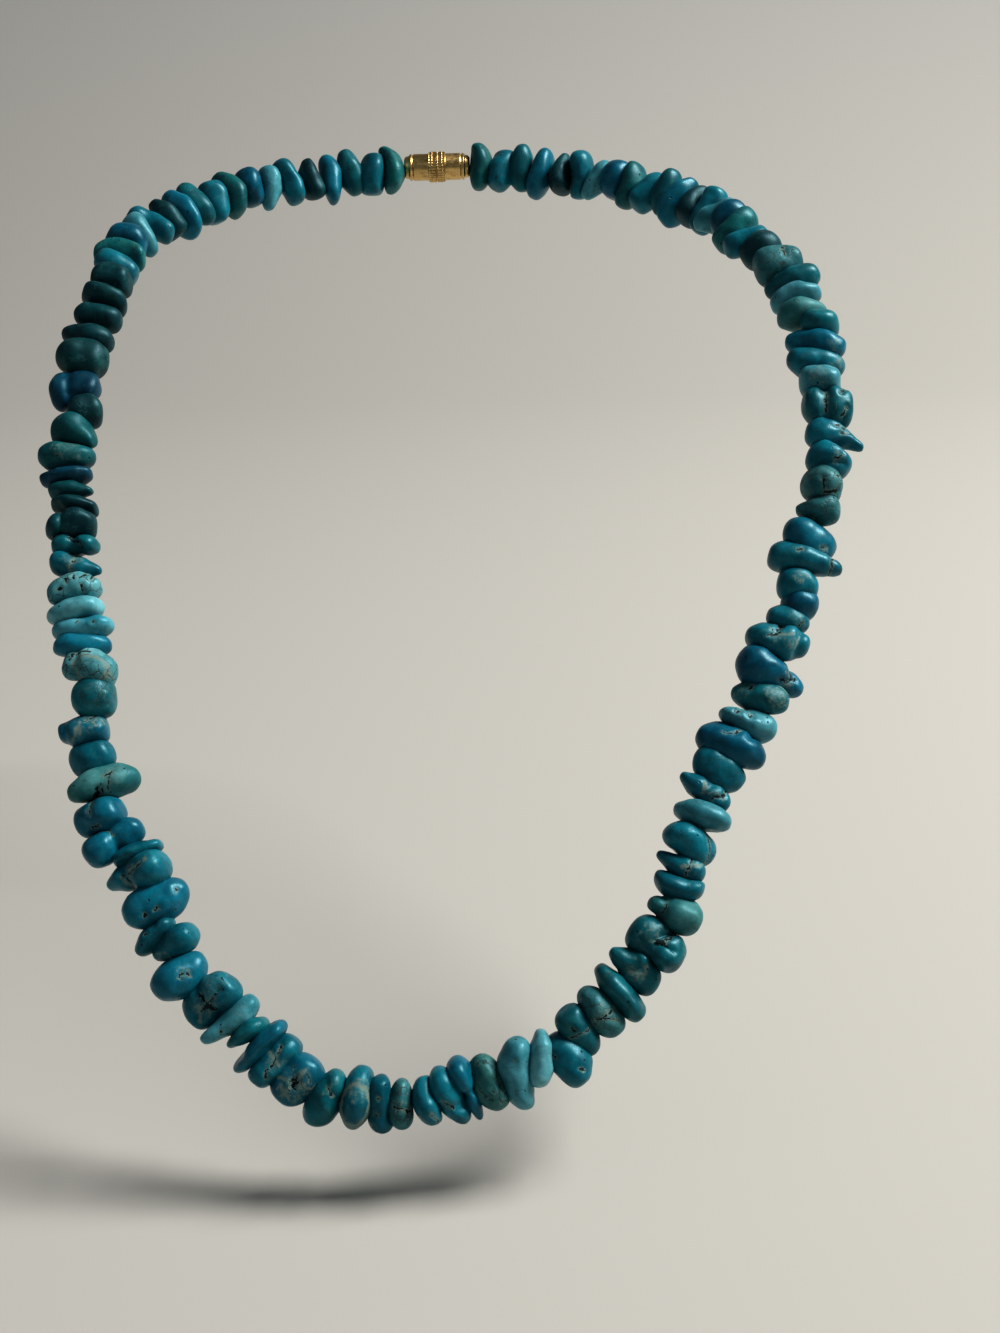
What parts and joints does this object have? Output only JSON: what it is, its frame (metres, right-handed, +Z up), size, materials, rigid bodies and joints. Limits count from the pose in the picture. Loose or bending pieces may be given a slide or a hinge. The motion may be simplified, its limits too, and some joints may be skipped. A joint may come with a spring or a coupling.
{
  "type": "beaded necklace",
  "caption": "Single-strand necklace of drilled and polished irregular turquoise nuggets in its worn form, with a small barrel clasp at the nape.",
  "frame": {"origin": "where the back of the string rests on the nape of the neck, at the middle of the clasp's inner side", "axes": "+Z up, -Y towards the hanging front of the string, +X towards the right as seen from the front"},
  "size_m": [0.1369, 0.1448, 0.1352],
  "materials": {
    "turquoise": "polished blue-green turquoise with brown and black matrix veins",
    "clasp_metal": "polished"
  },
  "bodies": {
    "root": {"bead_string_left": "turquoise", "bead_string_right": "turquoise", "clasp": "clasp_metal"}
  },
  "joints": []
}
